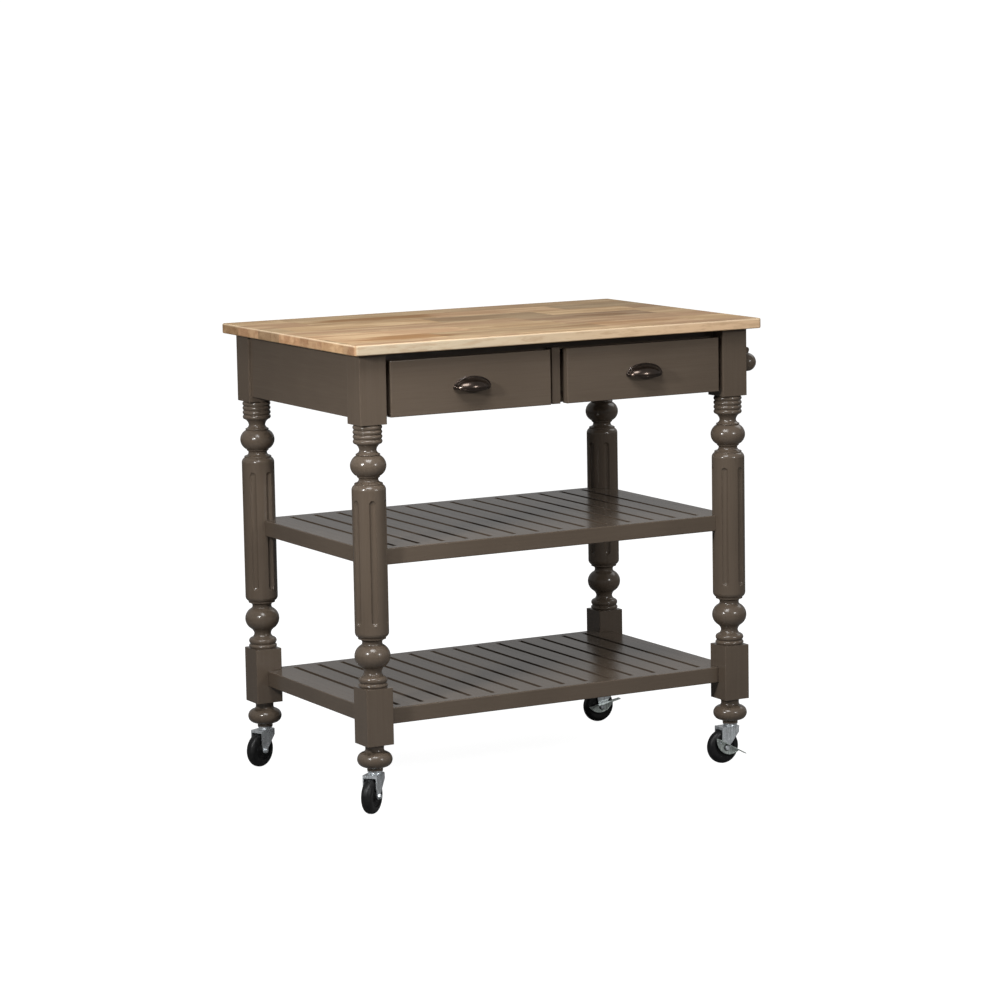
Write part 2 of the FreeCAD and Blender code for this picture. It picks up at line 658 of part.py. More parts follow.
def make_caster(name, x, y, angle, brake):
    """Built with the stem on Z and the wheel trailing towards +X, then turned about Z."""
    across = V(0, 1, 0)
    axle_at = V(TRAIL, 0, WHEEL_R)

    def put(shape):
        s = shape.copy()
        s.rotate(V(0, 0, 0), V(0, 0, 1), angle)
        return s.translated(V(x, y, 0))

    # fixed stem: socket pin, bright collar, pivot and its riveted end
    stem = cyl(5.5, 38.0, V(0, 0, LEG_BOTTOM - 0.5))
    collar = cyl(15.0, 2.2, V(0, 0, LEG_BOTTOM - 2.2))
    neck = cyl(10.0, 3.0, V(0, 0, 77.0))
    pivot = cyl(4.0, 8.0, V(0, 0, 70.5))
    rivet = cyl(6.5, 1.6, V(0, 0, 70.5))
    stem = stem.fuse([collar, neck, pivot, rivet]).removeSplitter()
    export("caster_%s_stem" % name, put(stem))
    # fork: crown plate with a raised race, two tapering cheeks and the riveted axle
    z_top = 76.2
    back = TRAIL + 9.0
    width = FORK_IN + FORK_T
    crown = box(-15, back, -width, width, z_top - 2.6, z_top)
    upright = along(V(0, 0, 1))
    crown = round_edges(crown, 5.0, lambda e: upright(e) and e.Vertexes[0].Point.x < 0)
    rear_lip = box(back - FORK_T, back, -width, width, z_top - 5.5, z_top)
    cheeks = [rear_lip]
    for s in (-1, 1):
        v0 = min(s * FORK_IN, s * (FORK_IN + FORK_T))
        pts = [V(-12, v0, z_top - 1), V(back, v0, z_top - 1), V(back, v0, 52)]
        pts += [V(TRAIL + 6, v0, WHEEL_R), V(TRAIL - 5.9, v0, WHEEL_R - 1), V(-12, v0, 64)]
        plate = Part.Face(Part.makePolygon(pts + [pts[0]])).extrude(V(0, FORK_T, 0))
        disc = cyl(6.0, FORK_T, V(TRAIL, v0, WHEEL_R), across)
        cheeks.append(plate.fuse(disc))
    span = FORK_IN + FORK_T + 5.0
    axle = cyl(AXLE_R, 2 * span, V(TRAIL, -span, WHEEL_R), across)
    heads = []
    for s in (-1, 1):
        v = FORK_IN + FORK_T + (2.4 if (brake and s > 0) else 0.0)
        start = V(TRAIL, s * v, WHEEL_R)
        heads.append(hexagon(4.6, 4.0, start, V(0, s, 0)))
    fork = crown.fuse(cheeks + [axle] + heads)
    fork = fork.cut(cyl(4.06, 10, V(0, 0, z_top - 6))).removeSplitter()
    export("caster_%s_fork" % name, put(fork))
    # wheel: solid tyre with a recessed web and a hub that nearly reaches the cheeks
    half = WHEEL_W / 2
    wheel = cyl(WHEEL_R, WHEEL_W, axle_at - across * half, across)
    wheel = rim_fillet(wheel, TYRE_ROUND, WHEEL_R)
    hub = cyl(8.0, 2 * (FORK_IN - 0.5), axle_at - across * (FORK_IN - 0.5), across)
    for s in (-1, 1):
        start = axle_at + V(0, s * (half - 1.8), 0)
        ring = cyl(21.0, 5.0, start, V(0, s, 0))
        core = cyl(11.0, 6.0, start - V(0, s * 0.5, 0), V(0, s, 0))
        wheel = wheel.cut(ring.cut(core))
    wheel = wheel.fuse(hub)
    wheel = wheel.cut(cyl(AXLE_R + 0.05, 60, axle_at - across * 30, across)).removeSplitter()
    export("caster_%s_wheel" % name, put(wheel))
    if brake is None:
        return
    # brake: half-moon plate turning on the axle outside the fork, with a bent-out pedal
    v0 = FORK_IN + FORK_T + 0.5
    chord = 7.0
    plate_r = 33.0
    centre = V(TRAIL, v0, WHEEL_R + plate_r - 13.0)
    moon = cyl(plate_r, 1.4, centre, across)
    moon = moon.common(box(TRAIL - 60, TRAIL + 60, v0 - 1, v0 + 3, WHEEL_R - 40, WHEEL_R + chord))
    pedal = box(TRAIL - 44, TRAIL + 27, v0, v0 + 13, WHEEL_R + chord - 1.4, WHEEL_R + chord)
    pedal = round_edges(pedal, 4.0, lambda e: upright(e) and e.Vertexes[0].Point.y > v0 + 5)
    lever = moon.fuse(pedal).cut(cyl(AXLE_R + 0.06, 10, V(TRAIL, v0 - 2, WHEEL_R), across))
    lever = lever.removeSplitter()
    lever.rotate(V(TRAIL, 0, WHEEL_R), across, -brake)
    export("caster_%s_brake" % name, put(lever))


# ------------------------------------------------------------------ build
make_top()
make_cleats()
bolt_holes = make_corners()
cuts = make_aprons(bolt_holes)
for shelf, top in SHELF_TOPS.items():
    cuts += make_shelf(shelf, top)
make_legs(cuts, bolt_holes)
make_drawer("left", -1)
make_drawer("right", 1)
make_towel_bar()
# wheel directions about Z, and the brake pedals' slope on the two right-hand casters
make_caster("fl", -LEG_X, -LEG_Y, 220, None)
make_caster("bl", -LEG_X, LEG_Y, 205, None)
make_caster("fr", LEG_X, -LEG_Y, 180, 29)
make_caster("br", LEG_X, LEG_Y, 180, -11)
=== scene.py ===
import json
import math
import bpy
import bmesh
from mathutils import Matrix, Vector


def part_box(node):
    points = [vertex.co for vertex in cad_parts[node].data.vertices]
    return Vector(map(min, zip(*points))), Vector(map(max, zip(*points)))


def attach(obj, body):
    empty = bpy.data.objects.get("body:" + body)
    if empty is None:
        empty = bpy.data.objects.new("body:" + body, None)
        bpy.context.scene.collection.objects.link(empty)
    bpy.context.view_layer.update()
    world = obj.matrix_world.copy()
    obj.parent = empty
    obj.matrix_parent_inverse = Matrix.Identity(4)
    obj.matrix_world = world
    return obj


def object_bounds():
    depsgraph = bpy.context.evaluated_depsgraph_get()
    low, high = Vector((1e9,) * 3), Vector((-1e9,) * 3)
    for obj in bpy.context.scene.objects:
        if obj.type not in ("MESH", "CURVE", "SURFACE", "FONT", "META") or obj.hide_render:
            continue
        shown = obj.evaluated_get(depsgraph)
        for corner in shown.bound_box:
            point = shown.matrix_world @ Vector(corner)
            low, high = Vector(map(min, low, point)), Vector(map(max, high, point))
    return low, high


# A wheeled butcher block table in a white studio.  Metres, +X along the worktop, +Y to the
# back, +Z up.  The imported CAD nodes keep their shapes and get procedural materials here;
# small fittings that CAD leaves plain are added as pieces that ride on the same bodies.

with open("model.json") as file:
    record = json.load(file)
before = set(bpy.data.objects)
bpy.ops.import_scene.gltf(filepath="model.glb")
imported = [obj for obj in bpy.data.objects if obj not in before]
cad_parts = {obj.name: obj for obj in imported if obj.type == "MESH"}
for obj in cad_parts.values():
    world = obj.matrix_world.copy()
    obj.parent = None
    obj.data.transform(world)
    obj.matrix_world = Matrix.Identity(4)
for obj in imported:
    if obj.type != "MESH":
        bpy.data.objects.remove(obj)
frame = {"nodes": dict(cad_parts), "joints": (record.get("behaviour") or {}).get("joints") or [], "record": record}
nodes = frame["nodes"]
cad_low, cad_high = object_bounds()

top_low, top_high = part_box("top_staves")
TOP_CENTRE = (top_low + top_high) / 2
FRONT_STAVE = 0.047       # the front stave of the worktop is ripped narrow
STAVE = 0.096             # the others
BOARD = 0.27              # usual length of the boards finger-jointed into a stave
FINGER_HALF = 0.0034      # half the height of one finger of those joints
FINGER_SLOPE = 2.9        # how far it reaches along the board, in half heights
GLUE_LINE = 0.007         # width of a glue line, in staves
BUTT_LINE = 0.0025        # width of the line where two boards meet, in boards
ARRIS_HIGHLIGHT_REACH = 0.0005, 0.0032    # painted highlight along the worktop's arris: palest up to the first and gone by the second
RINGS_PER_METRE = 205.0   # growth rings
BOARD_LIGHTNESS = 0.64, 1.03    # of the darkest and the lightest board
END_LIGHTNESS = 0.76, 1.20      # of the darkest and the lightest stave's end grain
# brown heartwood on the worktop: place from its centre, reach each way, and strength
HEART_PATCHES = (((-0.155, 0.205), (0.190, 0.070), 0.85),
                 ((-0.290, -0.205), (0.130, 0.060), 0.85),
                 ((0.180, -0.205), (0.170, 0.045), 0.50),
                 ((0.245, -0.030), (0.080, 0.036), 0.60),
                 ((-0.030, 0.075), (0.150, 0.050), 0.45))

# colours, linear RGB
BOARD_PALE, BOARD_DARK = (0.560, 0.398, 0.228), (0.430, 0.282, 0.146)
BOARD_WARM = (0.450, 0.280, 0.158)
RING_TONE, FIBRE_TONE = (0.330, 0.198, 0.098), (0.330, 0.206, 0.108)
STREAK_TONE, CLEAR_TONE = (0.275, 0.155, 0.068), (0.640, 0.470, 0.275)
HEART_TONE, PORE_TONE = (0.270, 0.135, 0.045), (0.190, 0.108, 0.052)
SAPWOOD_LEFT, SAPWOOD_RIGHT = (0.460, 0.392, 0.284), (0.640, 0.450, 0.280)
FLECK_TONE, GLUE_TONE = (0.330, 0.215, 0.120), (0.170, 0.098, 0.050)
# the pale tone of the painted highlight along the worktop's arris
ARRIS_HIGHLIGHT_TONE = (0.700, 0.570, 0.400)
PLAIN_PALE, PLAIN_DARK = (0.560, 0.420, 0.262), (0.500, 0.352, 0.212)
PLAIN_RING, PLAIN_FIBRE = (0.400, 0.262, 0.142), (0.430, 0.300, 0.172)
PLAIN_PORE = (0.270, 0.170, 0.090)
TAUPE, TAUPE_LIGHT = (0.0850, 0.0645, 0.0475), (0.0960, 0.0732, 0.0542)
TAUPE_GRAIN, TAUPE_BRUSHED = (0.0650, 0.0480, 0.0350), (0.1060, 0.0830, 0.0630)
BRONZE_DARK, BRONZE_LIGHT = (0.048, 0.035, 0.028), (0.070, 0.052, 0.042)
ZINC_BRIGHT, ZINC_PASSIVATED = (0.86, 0.90, 0.93), (0.76, 0.83, 0.79)
STEEL_DARK, STEEL_LIGHT = (0.020, 0.020, 0.021), (0.034, 0.034, 0.035)
STEEL_RUBBED = (0.110, 0.110, 0.112)
RUBBER_DARK, RUBBER_LIGHT = (0.0050, 0.0050, 0.0055), (0.0110, 0.0108, 0.0108)


# ------------------------------------------------------------------ shader helper
class Graph:
    """Adds nodes to one material and links them, so that a pattern reads as a formula."""

    def __init__(self, name):
        self.material = bpy.data.materials.new(name)
        self.material.use_nodes = True
        self.tree = self.material.node_tree
        self.tree.nodes.clear()
        self.surface = self.add("ShaderNodeBsdfPrincipled")
        out = self.add("ShaderNodeOutputMaterial")
        self.link(self.surface.outputs["BSDF"], out.inputs["Surface"])
        coordinates = self.add("ShaderNodeTexCoord")
        self.place = coordinates.outputs["Object"]
        self.normal = coordinates.outputs["Normal"]
        split = self.add("ShaderNodeSeparateXYZ")
        self.link(self.place, split.inputs[0])
        self.x, self.y, self.z = split.outputs

    def add(self, kind, **settings):
        node = self.tree.nodes.new(kind)
        for key, value in settings.items():
            setattr(node, key, value)
        return node

    def link(self, a, b):
        self.tree.links.new(a, b)

    def put(self, socket, value):
        """Feeds a socket from another node's output, or sets it to a constant."""
        if isinstance(value, bpy.types.NodeSocket):
            self.link(value, socket)
        else:
            socket.default_value = value

    def math(self, operation, *values):
        node = self.add("ShaderNodeMath", operation=operation)
        for socket, value in zip(node.inputs, values):
            self.put(socket, value)
        return node.outputs[0]

    def plus(self, a, b):
        return self.math("ADD", a, b)

    def times(self, a, b):
        return self.math("MULTIPLY", a, b)

    def vector(self, x, y, z):
        node = self.add("ShaderNodeCombineXYZ")
        for socket, value in zip(node.inputs, (x, y, z)):
            self.put(socket, value)
        return node.outputs[0]

    def ramp(self, value, low, high, to_low=0.0, to_high=1.0, smooth=True):
        """Maps low..high to to_low..to_high and holds the ends."""
        kind = "SMOOTHSTEP" if smooth else "LINEAR"
        node = self.add("ShaderNodeMapRange", interpolation_type=kind)
        for socket, v in zip(node.inputs, (value, low, high, to_low, to_high)):
            self.put(socket, v)
        return node.outputs[0]

    def noise(self, vector, detail=2.0, roughness=0.5):
        """Noise from 0 to 1.  The vector carries the scale."""
        node = self.add("ShaderNodeTexNoise")
        self.link(vector, node.inputs["Vector"])
        node.inputs["Scale"].default_value = 1.0
        node.inputs["Detail"].default_value = detail
        node.inputs["Roughness"].default_value = roughness
        return node.outputs["Fac"]

    def stretched(self, kx, ky, kz, shift=0.0):
        """The place in the model's frame, scaled along each axis and shifted."""
        x = self.plus(self.times(self.x, kx), shift)
        y = self.plus(self.times(self.y, ky), shift)
        z = self.plus(self.times(self.z, kz), shift)
        return self.vector(x, y, z)

    def random(self, vector):
        """Three random numbers that stay the same wherever the vector does."""
        node = self.add("ShaderNodeTexWhiteNoise", noise_dimensions="3D")
        self.link(vector, node.inputs["Vector"])
        split = self.add("ShaderNodeSeparateColor")
        self.link(node.outputs["Color"], split.inputs[0])
        return split.outputs

    def mix(self, factor, a, b, blend="MIX"):
        """Colour a with colour b laid over it by factor."""
        node = self.add("ShaderNodeMix", data_type="RGBA", blend_type=blend)
        self.put(node.inputs["Factor"], factor)
        for socket, value in ((node.inputs[6], a), (node.inputs[7], b)):
            self.put(socket, (*value, 1.0) if isinstance(value, tuple) else value)
        return node.outputs[2]

    def bump(self, height, distance, strength=1.0, base=None):
        node = self.add("ShaderNodeBump")
        node.inputs["Strength"].default_value = strength
        node.inputs["Distance"].default_value = distance
        self.link(height, node.inputs["Height"])
        if base is not None:
            self.link(base, node.inputs["Normal"])
        return node.outputs[0]

    def soft_edges(self, radius):
        node = self.add("ShaderNodeBevel", samples=4)
        node.inputs["Radius"].default_value = radius
        return node.outputs[0]

    def set(self, **values):
        for name, value in values.items():
            socket = self.surface.inputs[name.replace("_", " ")]
            self.put(socket, (*value, 1.0) if isinstance(value, tuple) else value)


# ------------------------------------------------------------------ wood
def wood_figure(g, along, across, up, centre, board):
    """Growth rings, fibre and pores of one board as three factors from 0 to 1.  board holds
    three random numbers; centre is where the middle of the board lies across the grain."""
    def drawn_out(lengthwise, crosswise, *kind):
        """Noise with the given rates per metre along and across the grain."""
        x, y, z = g.times(along, lengthwise), g.times(across, crosswise), g.times(up, crosswise)
        return g.noise(g.vector(x, y, z), *kind)

    # the pith lies a little below the board and off to one side, leaning along it
    wander = drawn_out(2.2, 9.0)
    drift = g.times(g.plus(wander, -0.5), 0.034)
    lean = g.times(g.plus(board[1], -0.5), 0.10)
    side = g.plus(g.plus(across, g.times(centre, -1.0)), g.times(g.plus(board[0], -0.5), 0.09))
    side = g.plus(side, g.times(along, lean))
    depth = g.plus(g.plus(up, -top_low.z), g.plus(g.times(board[2], 0.07), 0.012))
    radius = g.math("SQRT", g.plus(g.times(side, side), g.times(depth, depth)))
    turn = g.math("FRACT", g.times(g.plus(radius, drift), RINGS_PER_METRE))
    ring = g.ramp(g.math("PINGPONG", turn, 0.5), 0.03, 0.5)
    fibre = drawn_out(9.0, 420.0, 3.0, 0.65)
    pore = drawn_out(95.0, 1500.0, 1.0)
    return ring, fibre, g.ramp(pore, 0.63, 0.74)


def heart_patch(g, place, reach, seed):
    """A soft patch of brown heartwood: 1 at place on the worktop, fading out over reach."""
    ragged = g.noise(g.stretched(9.0, 34.0, 0.0, seed), 2.5, 0.6)
    ax = g.times(g.plus(g.x, -TOP_CENTRE.x - place[0]), 1.0 / reach[0])
    ay = g.times(g.plus(g.y, -TOP_CENTRE.y - place[1]), 1.0 / reach[1])
    away = g.math("SQRT", g.plus(g.times(ax, ax), g.times(ay, ay)))
    away = g.plus(away, g.times(g.plus(ragged, -0.5), 1.5))
    return g.ramp(away, 0.45, 0.95, 1.0, 0.0)


def butcher_block():
    """The worktop: staves glued side by side, each finger-jointed from short boards."""
    g = Graph("butcher_block_lacquer")
    first = top_low.y + FRONT_STAVE
    row = g.times(g.plus(g.y, -first), 1.0 / STAVE)
    stave = g.math("MAXIMUM", g.math("FLOOR", row), -1.0)
    chance = g.random(g.vector(stave, 3.7, 1.3))
    # finger joints: a straight line on the faces, a row of fingers on the edges
    finger = g.times(g.math("PINGPONG", g.plus(g.z, -top_low.z), FINGER_HALF), FINGER_SLOPE)
    length = g.plus(g.plus(g.x, finger), g.times(chance[0], 0.9))
    sway = g.math("SINE", g.plus(g.times(length, 9.0), g.times(chance[1], 6.0)))
    run = g.plus(g.times(length, 1.0 / BOARD), g.times(sway, 0.16))
    piece = g.math("FLOOR", run)
    board = g.random(g.vector(stave, piece, 7.1))
    centre = g.plus(g.times(g.plus(stave, 0.5), STAVE), first)
    ring, fibre, pore = wood_figure(g, g.x, g.y, g.z, centre, board)
    # base tone of each board, then rings, fibre, brown heart streaks and pores
    tone = g.mix(board[0], BOARD_PALE, BOARD_DARK)
    tone = g.mix(g.ramp(board[2], 0.62, 0.80), tone, BOARD_WARM)
    tone = g.mix(g.times(ring, 0.26), tone, RING_TONE)
    tone = g.mix(g.times(g.ramp(fibre, 0.40, 0.72), 0.50), tone, FIBRE_TONE)
    shift = g.times(board[1], 9.0)
    streak = g.noise(g.stretched(4.5, 62.0, 62.0, shift), 5.0, 0.70)
    tone = g.mix(g.times(g.ramp(streak, 0.46, 0.64), 0.55), tone, STREAK_TONE)
    pale = g.noise(g.stretched(5.0, 26.0, 26.0, shift), 3.0, 0.6)
    tone = g.mix(g.times(g.ramp(pale, 0.48, 0.62), 0.50), tone, CLEAR_TONE)
    for count, (place, reach, strength) in enumerate(HEART_PATCHES):
        # heartwood ends at the glue lines of the stave that it lies in
        home = math.floor((TOP_CENTRE.y + place[1] - first) / STAVE)
        patch = heart_patch(g, place, reach, 3.0 + count)
        patch = g.times(patch, g.math("COMPARE", stave, home, 0.5))
        tone = g.mix(g.times(patch, strength), tone, HEART_TONE)
    tone = g.mix(g.times(pore, 0.42), tone, PORE_TONE)
    # the boards were cut from different trees, so each is lighter or darker as a whole
    mean = g.plus(g.times(board[0], 0.5), g.times(board[1], 0.5))
    light = g.ramp(mean, 0.15, 0.85, *BOARD_LIGHTNESS, smooth=False)
    tone = g.mix(1.0, tone, g.vector(light, light, light), "MULTIPLY")
    # end grain takes the finish unevenly, stave by stave; the front edge is pale sapwood
    facing = g.add("ShaderNodeSeparateXYZ")
    g.link(g.normal, facing.inputs[0])
    end = g.ramp(g.math("ABSOLUTE", facing.outputs[0]), 0.75, 0.95)
    end_light = g.ramp(chance[2], 0.2, 0.8, *END_LIGHTNESS, smooth=False)
    warmer = g.vector(end_light, g.times(end_light, 0.92), g.times(end_light, 0.90))
    tone = g.mix(end, tone, g.mix(1.0, tone, warmer, "MULTIPLY"))
    front = g.ramp(g.math("ABSOLUTE", facing.outputs[1]), 0.75, 0.95)
    along = g.ramp(g.x, top_low.x + 0.25, top_high.x - 0.15, smooth=False)
    sapwood = g.mix(along, SAPWOOD_LEFT, SAPWOOD_RIGHT)
    fleck = g.noise(g.stretched(22.0, 60.0, 160.0), 4.0, 0.7)
    sapwood = g.mix(g.times(g.ramp(fleck, 0.46, 0.66), 0.45), sapwood, FLECK_TONE)
    tone = g.mix(g.times(front, 0.78), tone, sapwood)
    # glue lines between staves, counted from well in front of the first, and at the joints
    gap = g.math("PINGPONG", g.plus(row, 40.0), 0.5)
    glue = g.ramp(gap, 0.0, GLUE_LINE, 1.0, 0.0)
    butt = g.ramp(g.math("PINGPONG", run, 0.5), 0.0, BUTT_LINE, 1.0, 0.0)
    joints = g.math("MAXIMUM", glue, g.times(butt, 0.8))
    tone = g.mix(g.times(joints, 0.40), tone, GLUE_TONE)
    # painted highlight along the arris round the worktop, standing in for the light its rounded edge catches
    off_x = g.math("ABSOLUTE", g.plus(g.x, -TOP_CENTRE.x))
    inset_x = g.plus(g.times(off_x, -1.0), top_high.x - TOP_CENTRE.x)
    off_y = g.math("ABSOLUTE", g.plus(g.y, -TOP_CENTRE.y))
    inset_y = g.plus(g.times(off_y, -1.0), top_high.y - TOP_CENTRE.y)
    rim = g.ramp(g.math("MINIMUM", inset_x, inset_y), *ARRIS_HIGHLIGHT_REACH, 1.0, 0.0)
    rim = g.times(rim, g.ramp(g.z, top_high.z - 0.004, top_high.z - 0.001))
    tone = g.mix(g.times(rim, 0.50), tone, ARRIS_HIGHLIGHT_TONE)
    height = g.plus(g.times(fibre, 0.5), g.times(pore, -0.7))
    height = g.plus(height, g.times(joints, -0.9))
    g.set(Base_Color=tone, Roughness=g.ramp(fibre, 0.3, 0.7, 0.50, 0.62, False))
    g.set(Normal=g.bump(height, 0.00012, 0.5), Specular_IOR_Level=0.22)
    return g.material


def plain_wood():
    """Unpainted boards inside the carcase and the drawers; grain follows X."""
    g = Graph("sanded_drawer_wood")
    cell_y, cell_z = g.math("FLOOR", g.times(g.y, 6.0)), g.math("FLOOR", g.times(g.z, 9.0))
    block = g.random(g.vector(cell_y, cell_z, 2.0))
    ring, fibre, pore = wood_figure(g, g.x, g.y, g.z, 0.0, block)
    tone = g.mix(block[0], PLAIN_PALE, PLAIN_DARK)
    tone = g.mix(g.times(ring, 0.28), tone, PLAIN_RING)
    tone = g.mix(g.times(g.ramp(fibre, 0.40, 0.72), 0.40), tone, PLAIN_FIBRE)
    tone = g.mix(g.times(pore, 0.35), tone, PLAIN_PORE)
    height = g.plus(g.times(fibre, 0.6), g.times(pore, -0.6))
    g.set(Base_Color=tone, Roughness=g.ramp(fibre, 0.3, 0.7, 0.50, 0.64, False))
    g.set(Normal=g.bump(height, 0.00015, 0.6))
    return g.material


# ------------------------------------------------------------------ paint
def painted_wood(name, axis):
    """Dark taupe satin paint.  The grain beneath telegraphs faintly along the given axis."""
    g = Graph("taupe_paint_" + name)
    along, cross = 14.0, 520.0        # rates per metre
    scale = [along if i == axis else cross for i in range(3)]
    grain = g.noise(g.stretched(*scale), 3.0, 0.6)
    brush = g.noise(g.stretched(*[rate * 0.22 for rate in scale]), 2.0, 0.5)
    cloud = g.noise(g.stretched(5.0, 5.0, 5.0), 2.0, 0.5)
    fine = g.noise(g.stretched(900.0, 900.0, 900.0), 1.0)
    tone = g.mix(g.ramp(cloud, 0.3, 0.7), TAUPE, TAUPE_LIGHT)
    tone = g.mix(g.times(g.ramp(grain, 0.42, 0.70), 0.20), tone, TAUPE_GRAIN)
    tone = g.mix(g.times(g.ramp(brush, 0.45, 0.75), 0.20), tone, TAUPE_BRUSHED)
    height = g.plus(g.times(grain, 0.55), g.plus(g.times(brush, 0.6), g.times(fine, 0.12)))
    rough = g.ramp(brush, 0.3, 0.7, 0.17, 0.23, False)
    g.set(Base_Color=tone, Roughness=rough, Specular_IOR_Level=0.38)
    g.set(Normal=g.bump(height, 0.00006, 0.5, g.soft_edges(0.0009)))
    return g.material


# ------------------------------------------------------------------ metals and rubber
def dark_bronze():
    """Glossy dark bronze of the cup pulls."""
    g = Graph("dark_bronze_gloss")
    cloud = g.noise(g.stretched(60.0, 60.0, 60.0), 3.0)
    fine = g.noise(g.stretched(1400.0, 1400.0, 1400.0), 1.0)
    tone = g.mix(g.ramp(cloud, 0.3, 0.7), BRONZE_DARK, BRONZE_LIGHT)
    g.set(Base_Color=tone, Roughness=g.ramp(cloud, 0.3, 0.7, 0.22, 0.28, False))
    g.set(Metallic=0.9, Coat_Weight=0.20, Coat_Roughness=0.08)
    g.set(Normal=g.bump(fine, 0.00004, 0.3, g.soft_edges(0.0005)))
    return g.material


def zinc(name, tint):
    """Zinc plate in the given tint, with dull clouds and a painted reflection of dark streaks along Z."""
    g = Graph("zinc_plate_" + name)
    cloud = g.noise(g.stretched(120.0, 120.0, 120.0), 4.0, 0.6)
    rolled = g.noise(g.stretched(2200.0, 2200.0, 160.0), 2.0)
    # painted reflection: dark streaks along Z stand in for the streaky reflections on plated steel
    reflection_streaks = g.noise(g.stretched(420.0, 420.0, 22.0), 3.0, 0.65)
    dull = tuple(v * 0.62 for v in tint)
    reflection_dark = tuple(v * 0.42 for v in tint)
    tone = g.mix(g.ramp(cloud, 0.35, 0.75), tint, dull)
    tone = g.mix(g.times(g.ramp(reflection_streaks, 0.44, 0.62), 0.75), tone, reflection_dark)
    g.set(Base_Color=tone, Metallic=0.75)
    g.set(Roughness=g.ramp(g.plus(cloud, g.times(rolled, 0.4)), 0.4, 1.0, 0.20, 0.40, False))
    g.set(Normal=g.bump(rolled, 0.00004, 0.4, g.soft_edges(0.0004)))
    return g.material


def black_steel():
    """Black coated steel of the drawer slides, rubbed a little where the balls run."""
    g = Graph("black_coated_steel")
    cloud = g.noise(g.stretched(80.0, 80.0, 80.0), 3.0)
    rubbed = g.noise(g.stretched(900.0, 12.0, 900.0), 2.0)
    tone = g.mix(g.ramp(cloud, 0.3, 0.7), STEEL_DARK, STEEL_LIGHT)
    tone = g.mix(g.times(g.ramp(rubbed, 0.55, 0.75), 0.5), tone, STEEL_RUBBED)
    g.set(Base_Color=tone, Metallic=0.4, Roughness=g.ramp(cloud, 0.3, 0.7, 0.32, 0.46, False))
    g.set(Normal=g.bump(rubbed, 0.00003, 0.3, g.soft_edges(0.0004)))
    return g.material


def black_rubber():
    """Black tyre and moulded web of the wheels."""
    g = Graph("black_rubber_tyre")
    cloud = g.noise(g.stretched(90.0, 90.0, 90.0), 3.0)
    fine = g.noise(g.stretched(1800.0, 1800.0, 1800.0), 2.0)
    tone = g.mix(g.ramp(cloud, 0.3, 0.75), RUBBER_DARK, RUBBER_LIGHT)
    g.set(Base_Color=tone, Roughness=g.ramp(cloud, 0.3, 0.7, 0.34, 0.50, False))
    g.set(Normal=g.bump(fine, 0.00006, 0.5, g.soft_edges(0.0006)), Specular_IOR_Level=0.24)
    return g.material


def finishes():
    """Gives every CAD node its material by the record's slot and the way its grain runs."""
    paint = [painted_wood(name, i) for i, name in enumerate("xyz")]
    looks = {"butcher_block": butcher_block(),
             "plain_wood": plain_wood(),
             "dark_bronze": dark_bronze(),
             "zinc_plated_steel": zinc("bright", ZINC_BRIGHT),
             "black_steel": black_steel(),
             "brake_steel": zinc("passivated", ZINC_PASSIVATED),
             "black_rubber": black_rubber()}
    slot_of = {s["node"]: s["material_slot"] for s in frame["record"]["subparts"]}
    for name, node in nodes.items():
        slot = slot_of[name]
        if slot == "painted_wood":
            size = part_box(name)[1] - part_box(name)[0]
            axis = max(range(3), key=lambda i: size[i])
            if name.endswith(("_slats", "_sides")):
                axis = 1      # these hold several boards that run from front to back
            material = paint[axis]
        elif name.endswith("_brake"):
            material = looks["brake_steel"]
        else:
            material = looks[slot]
        for holder in node.material_slots:
            holder.material = material
    return looks


# ------------------------------------------------------------------ mesh helpers
def piece(name, shape, place, body, slot, material):
    """Turns a bmesh in local metres into a piece at place (a matrix) that rides on body."""
    bmesh.ops.recalc_face_normals(shape, faces=shape.faces)
    shape.transform(place)
    mesh = bpy.data.meshes.new(name)
    shape.to_mesh(mesh)
    shape.free()
    for face in mesh.polygons:
        face.use_smooth = True
    made = bpy.data.objects.new(name, mesh)
    mesh.materials.append(material)
    bpy.context.scene.collection.objects.link(made)
    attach(made, body)


def turned(shape, outline, steps=48, closed=True):
    """Revolves (radius, height) points about +Z.  A radius of 0 closes the end on the axis."""
    rings = []
    for radius, height in outline:
        if radius == 0.0:
            rings.append([shape.verts.new((0.0, 0.0, height))])
            continue
        turn = [math.tau * k / steps for k in range(steps)]
        rings.append([shape.verts.new((radius * math.cos(t), radius * math.sin(t), height))
                      for t in turn])
    pairs = list(zip(rings, rings[1:]))
    if closed:
        pairs.append((rings[-1], rings[0]))
    for a, b in pairs:
        for k in range(steps):
            corners = [a[k % len(a)], a[(k + 1) % len(a)], b[(k + 1) % len(b)], b[k % len(b)]]
            unique = list(dict.fromkeys(corners))     # a triangle where a ring is one point
            if len(unique) > 2:
                shape.faces.new(unique)


def bead(shape, points, radius, across, sides=10):
    """A round bead along points, with tapered ends.  across is square to every run."""
    across = Vector(across).normalized()
    sections = []
    for i, point in enumerate(points):
        ahead = (points[min(i + 1, len(points) - 1)] - points[max(i - 1, 0)]).normalized()
        up = across.cross(ahead)
        turn = [math.tau * k / sides for k in range(sides)]
        sections.append((point, [across * math.cos(t) + up * math.sin(t) for t in turn], ahead))
    first, last = sections[0], sections[-1]
    loops = [(first[0] - first[2] * radius * 0.7, first[1], radius * 0.5)]
    loops += [(centre, spokes, radius) for centre, spokes, _ in sections]
    loops.append((last[0] + last[2] * radius * 0.7, last[1], radius * 0.5))
    rings = [[shape.verts.new(c + spoke * r) for spoke in spokes] for c, spokes, r in loops]
    for a, b in zip(rings, rings[1:]):
        for k in range(sides):
            shape.faces.new((a[k], a[(k + 1) % sides], b[(k + 1) % sides], b[k]))
    shape.faces.new(rings[0])
    shape.faces.new(rings[-1])


